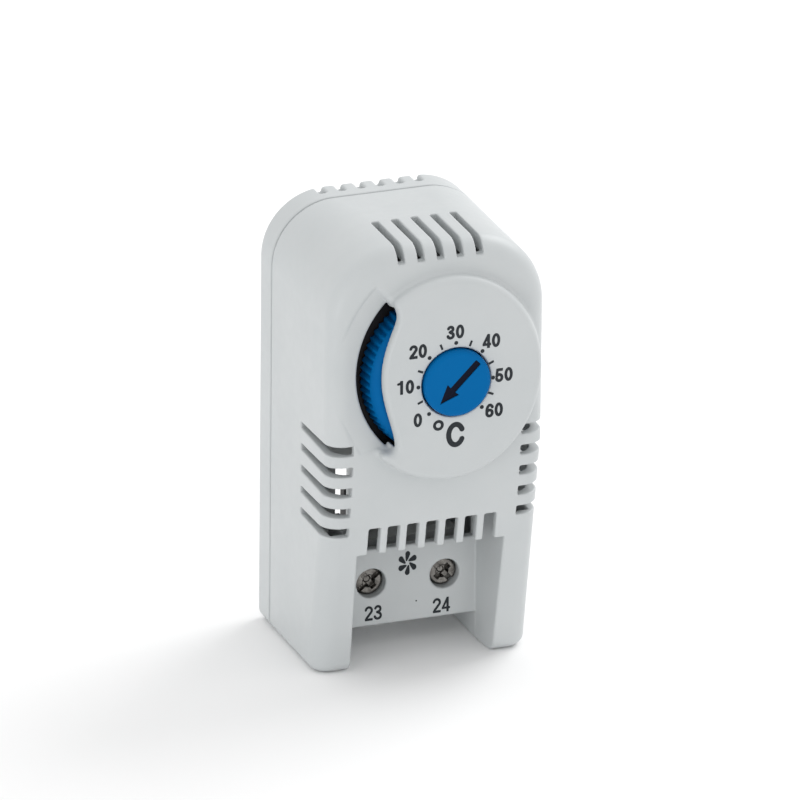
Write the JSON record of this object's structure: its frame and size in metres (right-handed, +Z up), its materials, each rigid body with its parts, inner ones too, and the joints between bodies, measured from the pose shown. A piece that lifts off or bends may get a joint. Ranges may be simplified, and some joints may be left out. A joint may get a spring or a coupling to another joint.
{
  "type": "enclosure thermostat",
  "caption": "Slim rail-mounted thermostat with a ridged thumbwheel and pointer knob on a raised dial, vented two-shell case, snap contact and recessed screw terminals.",
  "frame": {"origin": "middle of the bounding box seen from above, on the plane under the two feet", "axes": "+Z up along the housing's height, -Y towards the dial side, +X to the right seen from the front"},
  "size_m": [0.033, 0.0364, 0.0672],
  "materials": {
    "case_plastic": "fine satin moulded light grey",
    "blue_plastic": "satin moulded blue",
    "dark_ink": "very dark blue-black inlay",
    "black_plastic": "satin moulded black",
    "inner_plastic": "plain moulded grey",
    "natural_plastic": "natural white slippery plastic",
    "brass_part": "plain stamped brass",
    "zinc_steel": "zinc-plated steel",
    "dark_steel": "dull dark plated steel",
    "contact_metal": "silver contact face",
    "magnet_body": "dull dark sintered magnet"
  },
  "bodies": {
    "case": {"housing_front": "case_plastic", "housing_rear": "case_plastic", "guide_ring": "black_plastic", "contact_carrier": "inner_plastic", "carrier_screws": "zinc_steel", "snap_magnet": "magnet_body", "calibration_screw": "brass_part", "terminal_block": "inner_plastic", "bus_bar_23": "zinc_steel", "bus_bar_24": "zinc_steel", "latch_spring": "zinc_steel"},
    "setpoint": {"setpoint_wheel": "blue_plastic", "pointer_arrow": "dark_ink", "adjusting_spindle": "brass_part"},
    "follower": {"cam_follower": "natural_plastic"},
    "leaf": {"contact_leaf": "brass_part", "fixed_contact": "contact_metal"},
    "bimetal": {"bimetal_strip": "zinc_steel", "moving_contact": "contact_metal"},
    "screw_23": {"terminal_screw_23": "dark_steel"},
    "screw_24": {"terminal_screw_24": "dark_steel"},
    "cage_23": {"clamp_cage_23": "zinc_steel"},
    "cage_24": {"clamp_cage_24": "zinc_steel"},
    "latch": {"rail_latch": "black_plastic"}
  },
  "joints": [
    {"name": "setpoint_turn", "type": "hinge", "parent": "case", "child": "setpoint", "pos_m": [0.00185, -0.01535, 0.04655], "axis": [0, 1, 0], "range_deg": [0, 270]},
    {"name": "follower_slide", "type": "slide", "parent": "case", "child": "follower", "axis": [0, -1, 0], "range_m": [0, 0.0005]},
    {"name": "leaf_flex", "type": "hinge", "parent": "case", "child": "leaf", "pos_m": [0.0015, -0.0042, 0.0315], "axis": [1, 0, 0], "range_deg": [0, 1.92]},
    {"name": "bimetal_bend", "type": "hinge", "parent": "case", "child": "bimetal", "pos_m": [0.0015, -0.00155, 0.0315], "axis": [1, 0, 0], "range_deg": [-1.3, 0], "stiffness_Nm_per_rad": 0.05, "springref_deg": 1.15},
    {"name": "screw_23_turn", "type": "hinge", "parent": "case", "child": "screw_23", "pos_m": [-0.00567, -0.002, 0.01085], "axis": [0, 1, 0], "range_deg": [0, 2088]},
    {"name": "screw_24_turn", "type": "hinge", "parent": "case", "child": "screw_24", "pos_m": [0.00567, -0.002, 0.01085], "axis": [0, 1, 0], "range_deg": [0, 2088]},
    {"name": "cage_23_slide", "type": "slide", "parent": "case", "child": "cage_23", "axis": [0, -1, 0], "range_m": [0, 0.0029]},
    {"name": "cage_24_slide", "type": "slide", "parent": "case", "child": "cage_24", "axis": [0, -1, 0], "range_m": [0, 0.0029]},
    {"name": "latch_slide", "type": "slide", "parent": "case", "child": "latch", "axis": [0, 0, -1], "range_m": [0, 0.0026], "stiffness_N_per_m": 600, "springref_m": -0.003, "deforming": ["latch_spring"]}
  ],
  "couplings": [
    {"joint": "follower_slide", "follows": "setpoint_turn", "m_per_rad": 0.0001061},
    {"joint": "leaf_flex", "follows": "setpoint_turn", "ratio": 0.007074},
    {"joint": "screw_23_turn", "follows": "cage_23_slide", "rad_per_m": 12566},
    {"joint": "screw_24_turn", "follows": "cage_24_slide", "rad_per_m": 12566}
  ]
}
